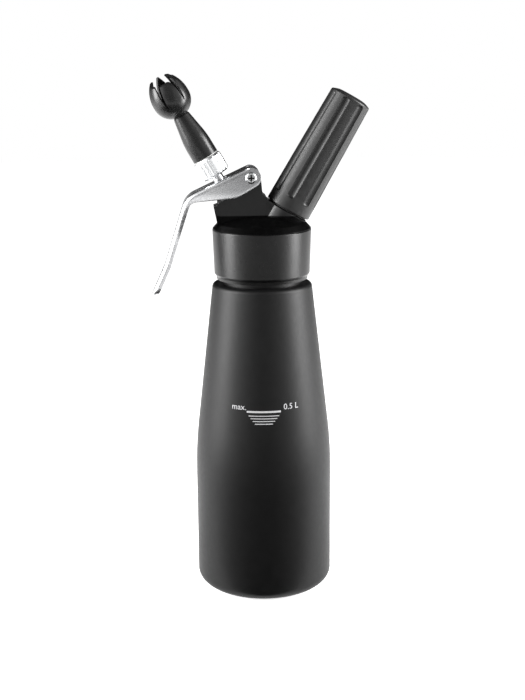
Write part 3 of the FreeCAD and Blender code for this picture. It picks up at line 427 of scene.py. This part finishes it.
def make_lever():
    """Pressed channel in rounded sheet, with ears at the pivot and a curled handle."""
    corner, knee, end = lever_line(0)
    low_corner, low_knee, low_end = lever_line(LIP)
    top = rounded_path([(0, EAR), (*corner, WEB_ROUND), (*knee, HANDLE_ROUND), end])
    past_end = (2 * low_end[0] - low_knee[0], 2 * low_end[1] - low_knee[1])
    low = rounded_path([(0, -EAR), (-CHEEK_REACH, EAR - CHEEK_DEPTH, CHEEK_ROUND),
                        (*low_corner, WEB_ROUND - 2 * LIP), (*low_knee, HANDLE_ROUND - LIP),
                        past_end], 1.0)
    rows, arc, web = CHEEK_ROWS, BEND_ROWS, WEB_ROWS
    bm = bmesh.new()

    def vertex(x, z, y):
        place = PIVOT + ALONG * x + ACROSS * z
        return bm.verts.new((place.x * MM, y * MM, place.z * MM))

    def side_y(x, z):
        return lever_half_width((PIVOT + ALONG * x + ACROSS * z).z)

    stations = []
    count = len(top)
    for i, (x, z) in enumerate(top):
        a = top[max(i - 1, 0)]
        b = top[min(i + 1, count - 1)]
        tx, tz = unit(b[0] - a[0], b[1] - a[1])
        nx, nz = -tz, tx
        depth = depth_to(low, (x, z), (nx, nz)) or LIP
        half = []
        bend = bend_radius(x)
        for k in range(rows):
            d = depth + (bend - depth) * k / (rows - 1)
            px, pz = x + nx * d, z + nz * d
            half.append((px, pz, side_y(px, pz), 0.0))
        for k in range(1, arc + 1):
            a = math.pi / 2 * k / arc
            d = bend * (1 - math.sin(a))
            px, pz = x + nx * d, z + nz * d
            half.append((px, pz, side_y(px, pz) - bend * (1 - math.cos(a)), 1.0))
        inner = half[-1][2]
        line = [(px, pz, y) for px, pz, y, _ in half]
        line += [(x, z, inner * (1 - 2 * k / (web + 1))) for k in range(1, web + 1)]
        line += [(px, pz, -y) for px, pz, y, _ in reversed(half)]
        stations.append([vertex(px, pz, y) for px, pz, y in line])
    for a, b in zip(stations, stations[1:]):
        for k in range(len(a) - 1):
            bm.faces.new((a[k], a[k + 1], b[k + 1], b[k]))
    side = rows + arc
    for sign, first in ((1, stations[0][:side]), (-1, stations[0][::-1][:side])):
        before = first
        for k in range(1, EAR_STEPS + 1):
            a = math.pi / 2 * k / EAR_STEPS
            x, reach = EAR * math.sin(a), EAR * math.cos(a)
            if k == EAR_STEPS:
                tip = vertex(EAR, 0, sign * WIDE)
                for j in range(side - 1):
                    face = (before[j], tip, before[j + 1])
                    bm.faces.new(face if sign > 0 else face[::-1])
                break
            line = []
            for j in range(side):
                low_share = min(j, rows - 1) / (rows - 1)
                flat_top = reach - BEND * reach / EAR
                z = -reach + (flat_top + reach) * low_share
                if j >= rows:
                    z = flat_top + (reach - flat_top) * (j - rows + 1) / arc
                line.append(vertex(x, z, sign * WIDE))
            for j in range(side - 1):
                face = (before[j], line[j], line[j + 1], before[j + 1])
                bm.faces.new(face if sign > 0 else face[::-1])
            before = line
    bmesh.ops.recalc_face_normals(bm, faces=bm.faces)
    web_face = max(bm.faces, key=lambda f: f.calc_center_median().z)
    if web_face.normal.z < 0:
        bmesh.ops.reverse_faces(bm, faces=bm.faces)
    mesh = bpy.data.meshes.new("lever_sheet")
    bm.to_mesh(mesh)
    bm.free()
    made = new_object("lever_pressing", mesh, FINISHES["lever"], "lever")
    thick = made.modifiers.new("thick", "SOLIDIFY")
    thick.thickness = SHEET * MM
    thick.offset = -1
    thick.use_even_offset = True
    cutters = [
        cylinder_mesh("pivot_cutter", PIVOT_HOLE, 30, PIVOT, Vector((0, 1, 0))),
        cylinder_mesh("stem_cutter", STEM_HOLE, 8, PIVOT - ALONG * STEM_REACH + ACROSS * EAR,
                      ACROSS),
    ]
    for cutter in cutters:
        cut = made.modifiers.new(cutter.name, "BOOLEAN")
        cut.operation = "DIFFERENCE"
        cut.object = cutter
        cut.solver = "EXACT"
    edge = made.modifiers.new("edges", "BEVEL")
    edge.width = 0.25 * MM
    edge.segments = 2
    edge.limit_method = "ANGLE"
    edge.angle_limit = math.radians(40)
    bpy.context.view_layer.update()
    applied(made)
    for cutter in cutters:
        bpy.data.objects.remove(cutter)
    made.data.polygons.foreach_set("use_smooth", [True] * len(made.data.polygons))
    made.data.set_sharp_from_angle(angle=math.radians(38))
    mark_edges(made.data)
    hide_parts("lever")
    return made


def cylinder_mesh(name, radius, length, centre, direction):
    bm = bmesh.new()
    bmesh.ops.create_cone(bm, cap_ends=True, segments=48, radius1=radius * MM,
                          radius2=radius * MM, depth=length * MM)
    turn = direction.to_track_quat("Z", "Y").to_matrix().to_4x4()
    bm.transform(Matrix.Translation(centre * MM) @ turn)
    mesh = bpy.data.meshes.new(name)
    bm.to_mesh(mesh)
    bm.free()
    made = bpy.data.objects.new(name, mesh)
    bpy.context.scene.collection.objects.link(made)
    return made


def mark_edges(mesh):
    """Stores how sharply the surface turns at each vertex, for the worn edges."""
    bm = bmesh.new()
    bm.from_mesh(mesh)
    layer = bm.verts.layers.float.new("edge")
    for vert in bm.verts:
        spread = 0.0
        for e in vert.link_edges:
            if len(e.link_faces) == 2:
                spread = max(spread, e.calc_face_angle(0.0))
        vert[layer] = min(1.0, max(0.0, spread - 0.25) / 0.6)
    bm.to_mesh(mesh)
    bm.free()


# Head

BLOCK_HALF_WIDTH = 8.98
BOSS_WEB = [(2.3, 214.0), (2.3, 229.4), (3.3, 228.1), (12.0, 223.1), (12.0, 214.0)]


def make_boss_web():
    """Moulded web that carries the valve block's faces over to the charger boss."""
    bm = bmesh.new()
    faces = []
    for y in (-BLOCK_HALF_WIDTH, BLOCK_HALF_WIDTH):
        faces.append([bm.verts.new((x * MM, y * MM, z * MM)) for x, z in BOSS_WEB])
    front, back = faces
    bm.faces.new(front)
    bm.faces.new(back[::-1])
    for k in range(len(front)):
        n = (k + 1) % len(front)
        bm.faces.new((front[k], back[k], back[n], front[n]))
    bmesh.ops.recalc_face_normals(bm, faces=bm.faces)
    bmesh.ops.bevel(bm, geom=bm.edges, offset=0.4 * MM, segments=3, affect="EDGES", profile=0.5)
    mesh = bpy.data.meshes.new("boss_web")
    bm.to_mesh(mesh)
    bm.free()
    made = new_object("boss_web", mesh, FINISHES["head"], "head")
    made.data.polygons.foreach_set("use_smooth", [True] * len(made.data.polygons))
    made.data.set_sharp_from_angle(angle=math.radians(35))


# Fill mark

BOTTLE_RADIUS, TAPER_START, SHOULDER_RADIUS, SHOULDER_HEIGHT = 39.7, 83.0, 28.4, 180.4
PRINT_LIFT = 0.04
PRINT_THICKNESS = 0.05
PRINT_SINK = 0.06
MARK_AZIMUTH = math.radians(-2.4)
TEXT_SIZE, TEXT_HEIGHT = 4.6, 114.2


def bottle_radius(height):
    """Outer radius of the bottle's straight taper."""
    share = (height - TAPER_START) / (SHOULDER_HEIGHT - TAPER_START)
    return BOTTLE_RADIUS + (SHOULDER_RADIUS - BOTTLE_RADIUS) * share


def on_bottle(across, height, lift):
    """A point on the front of the bottle, from its distance round and its height."""
    radius = bottle_radius(height)
    angle = MARK_AZIMUTH + across / radius
    radius += lift
    return (radius * math.sin(angle) * MM, -radius * math.cos(angle) * MM, height * MM)


def bar(bm, half, height, thickness):
    """One printed bar, bent round the bottle."""
    count = 24
    outline = []
    for sign in (1, -1):
        for i in range(count + 1):
            across = half * (1 - 2 * i / count) * sign
            outline.append((across, height + sign * thickness / 2))
    faces = []
    for lift in (PRINT_LIFT + PRINT_THICKNESS, PRINT_LIFT - PRINT_SINK):
        faces.append([bm.verts.new(on_bottle(a, h, lift)) for a, h in outline])
    front, back = faces
    n = count + 1
    for i in range(count):
        bm.faces.new((front[i], front[i + 1], front[2 * n - 2 - i], front[2 * n - 1 - i]))
        bm.faces.new((back[i + 1], back[i], back[2 * n - 1 - i], back[2 * n - 2 - i]))
    for i in range(2 * n):
        j = (i + 1) % (2 * n)
        bm.faces.new((front[j], front[i], back[i], back[j]))


BARS = [(9.6, 113.3, 1.0), (8.6, 111.0, 0.42), (7.5, 109.5, 0.42), (6.3, 108.0, 0.42),
        (5.1, 106.5, 0.42)]


def make_bars():
    bm = bmesh.new()
    for half, height, thickness in BARS:
        bar(bm, half, height, thickness)
    bmesh.ops.recalc_face_normals(bm, faces=bm.faces)
    mesh = bpy.data.meshes.new("fill_bars")
    bm.to_mesh(mesh)
    bm.free()
    made = new_object("fill_bars", mesh, FINISHES["ink"], "bottle")


def make_text(name, text, size, across, height):
    """Plain printed characters, wrapped round the bottle."""
    curve = bpy.data.curves.new(name, "FONT")
    curve.body = text
    curve.size = size * MM
    curve.extrude = PRINT_THICKNESS * MM
    curve.resolution_u = 3
    flat = bpy.data.objects.new(name + "_flat", curve)
    bpy.context.scene.collection.objects.link(flat)
    graph = bpy.context.evaluated_depsgraph_get()
    mesh = bpy.data.meshes.new_from_object(flat.evaluated_get(graph), depsgraph=graph)
    bpy.data.objects.remove(flat)
    for v in mesh.vertices:
        x, y, z = v.co / MM
        v.co = on_bottle(across + x, height + y, PRINT_LIFT + z)
    made = new_object(name, mesh, FINISHES["ink"], "bottle")


# Stage

FRONT = -3.0
BACK = FRONT + 180
CAMERA_PITCH, CAMERA_ROLL = 13.0, -0.45
CAMERA_DISTANCE, CAMERA_HEIGHT = 0.652, 0.3053
CAMERA_LENS, CAMERA_SHIFT = 59.41, -25 / 700
AMBIENT = 0.45
FLOOR_RADIUS, FLOOR_DROP, FLOOR_PAINT, FLOOR_GLOW = 3.0, 0.0003, 0.8, 0.72
LAMP_AIM = 0.2
# Name, azimuth, distance, height, width, tall, radiance
LAMPS = [
    ("left_strip", FRONT - 80, 0.9, 0.42, 0.42, 0.8, 19.0),
    ("right_strip", FRONT + 83, 0.9, 0.42, 0.42, 0.8, 21.0),
]
# Name, azimuth, distance, low, high, width, level, lean outwards
CARDS = [
    ("left_card", FRONT - 50, 1.2, 0.1, 1.3, 0.75, 2.6, 0.0),
    ("low_card", FRONT, 1.5, 0.0, 0.25, 1.3, 0.1, 0.0),
    ("front_card", FRONT, 1.5, 0.25, 2.2, 1.3, 0.45, 0.0),
    ("floor_card", FRONT, 0.04, 0.001, 0.001, 0.9, 0.05, 0.56),
    ("back_low_card", BACK, 1.3, 0.02, 0.3, 6.6, 0.5, 0.0),
    ("back_card", BACK, 1.3, 0.3, 1.9, 6.6, 0.012, 0.0),
    ("top_card", BACK, -0.9, 1.7, 1.7, 1.6, 0.012, 2.1),
]


def make_camera():
    """Camera at the photograph's place: 13 degrees down and a little to the left."""
    azimuth, pitch, roll = (math.radians(a) for a in (FRONT, CAMERA_PITCH, CAMERA_ROLL))
    forward = Vector((-math.sin(azimuth) * math.cos(pitch),
                      math.cos(azimuth) * math.cos(pitch), -math.sin(pitch)))
    right = Vector((math.cos(azimuth), math.sin(azimuth), 0))
    up = right.cross(forward)
    right, up = (right * math.cos(roll) + up * math.sin(roll),
                 up * math.cos(roll) - right * math.sin(roll))
    data = bpy.data.cameras.new("camera")
    data.lens = CAMERA_LENS
    data.shift_y = CAMERA_SHIFT
    data.clip_start = 0.01
    made = bpy.data.objects.new("camera", data)
    turn = Matrix((right, up, -forward)).transposed().to_4x4()
    place = (CAMERA_DISTANCE * math.sin(azimuth), -CAMERA_DISTANCE * math.cos(azimuth),
             CAMERA_HEIGHT)
    made.matrix_world = Matrix.Translation(place) @ turn
    bpy.context.scene.collection.objects.link(made)
    bpy.context.scene.camera = made


def seen_directly(tree):
    """1 for rays from the camera and from gloss or glass, 0 for light on surfaces."""
    path = tree.nodes.new("ShaderNodeLightPath")
    total = path.outputs["Is Camera Ray"]
    for name in ("Is Glossy Ray", "Is Transmission Ray"):
        larger = tree.nodes.new("ShaderNodeMath")
        larger.operation = "MAXIMUM"
        tree.links.new(total, larger.inputs[0])
        tree.links.new(path.outputs[name], larger.inputs[1])
        total = larger.outputs[0]
    return total


def make_world():
    world = bpy.data.worlds.new("studio")
    world.use_nodes = True
    tree = world.node_tree
    tree.nodes.clear()
    output = tree.nodes.new("ShaderNodeOutputWorld")
    ambient = tree.nodes.new("ShaderNodeBackground")
    ambient.inputs["Strength"].default_value = AMBIENT
    white = tree.nodes.new("ShaderNodeBackground")
    for shade in (ambient, white):
        shade.inputs["Color"].default_value = (1, 1, 1, 1)
    white.inputs["Strength"].default_value = 1.0
    mix = tree.nodes.new("ShaderNodeMixShader")
    tree.links.new(seen_directly(tree), mix.inputs[0])
    tree.links.new(ambient.outputs[0], mix.inputs[1])
    tree.links.new(white.outputs[0], mix.inputs[2])
    tree.links.new(mix.outputs[0], output.inputs["Surface"])
    bpy.context.scene.world = world


def make_floor():
    """Pale round floor that keeps a faint shadow and runs into the white."""
    bm = bmesh.new()
    bmesh.ops.create_circle(bm, cap_ends=True, segments=96, radius=FLOOR_RADIUS)
    mesh = bpy.data.meshes.new("floor")
    bm.to_mesh(mesh)
    bm.free()
    floor = bpy.data.objects.new("floor", mesh)
    floor.location.z = -FLOOR_DROP
    bpy.context.scene.collection.objects.link(floor)
    material = bpy.data.materials.new("floor_white")
    material.use_nodes = True
    tree = material.node_tree
    tree.nodes.clear()
    output = tree.nodes.new("ShaderNodeOutputMaterial")
    paint = tree.nodes.new("ShaderNodeBsdfDiffuse")
    paint.inputs["Color"].default_value = (FLOOR_PAINT, FLOOR_PAINT, FLOOR_PAINT, 1)
    glow = tree.nodes.new("ShaderNodeEmission")
    level = tree.nodes.new("ShaderNodeMath")
    level.operation = "MULTIPLY"
    level.inputs[1].default_value = FLOOR_GLOW
    tree.links.new(seen_directly(tree), level.inputs[0])
    tree.links.new(level.outputs[0], glow.inputs["Strength"])
    both = tree.nodes.new("ShaderNodeAddShader")
    tree.links.new(paint.outputs[0], both.inputs[0])
    tree.links.new(glow.outputs[0], both.inputs[1])
    tree.links.new(both.outputs[0], output.inputs["Surface"])
    floor.data.materials.append(material)


def make_lamp(name, azimuth, distance, height, width, tall, radiance):
    """Soft rectangular lamp that faces the object."""
    data = bpy.data.lights.new(name, "AREA")
    data.shape = "RECTANGLE"
    data.size, data.size_y = width, tall
    data.energy = radiance * math.pi * width * tall
    made = bpy.data.objects.new(name, data)
    a = math.radians(azimuth)
    place = Vector((distance * math.sin(a), -distance * math.cos(a), height))
    made.location = place
    made.rotation_mode = "QUATERNION"
    made.rotation_quaternion = (Vector((0, 0, LAMP_AIM)) - place).to_track_quat("-Z", "Y")
    made.visible_camera = False
    bpy.context.scene.collection.objects.link(made)


def make_card(name, azimuth, distance, low, high, width, level, tilt):
    """Grey or bright studio card that only gloss reflects."""
    a = math.radians(azimuth)
    out = Vector((math.sin(a), -math.cos(a), 0))
    side = Vector((math.cos(a), math.sin(a), 0)) * width / 2
    lean = out * tilt
    corners = [out * distance - side, out * distance + side,
               out * distance + side + lean, out * distance - side + lean]
    for corner, height in zip(corners, (low, low, high, high)):
        corner.z = height
    mesh = bpy.data.meshes.new(name)
    mesh.from_pydata(corners, [], [(0, 1, 2, 3)])
    made = bpy.data.objects.new(name, mesh)
    material = bpy.data.materials.new(name)
    material.use_nodes = True
    tree = material.node_tree
    tree.nodes.clear()
    output = tree.nodes.new("ShaderNodeOutputMaterial")
    glow = tree.nodes.new("ShaderNodeEmission")
    glow.inputs["Strength"].default_value = level
    tree.links.new(glow.outputs[0], output.inputs["Surface"])
    made.data.materials.append(material)
    bpy.context.scene.collection.objects.link(made)
    made.visible_camera = False
    made.visible_diffuse = False
    made.visible_shadow = False
    made.visible_transmission = False


make_lever()
make_boss_web()
make_bars()
make_text("fill_word", "max.", TEXT_SIZE, -18.6, TEXT_HEIGHT)
make_text("fill_volume", "0.5 L", TEXT_SIZE, 11.2, TEXT_HEIGHT)
make_camera()
make_world()
make_floor()
for lamp in LAMPS:
    make_lamp(*lamp)
for card in CARDS:
    make_card(*card)

view = bpy.context.scene.view_settings
view.view_transform = "Standard"
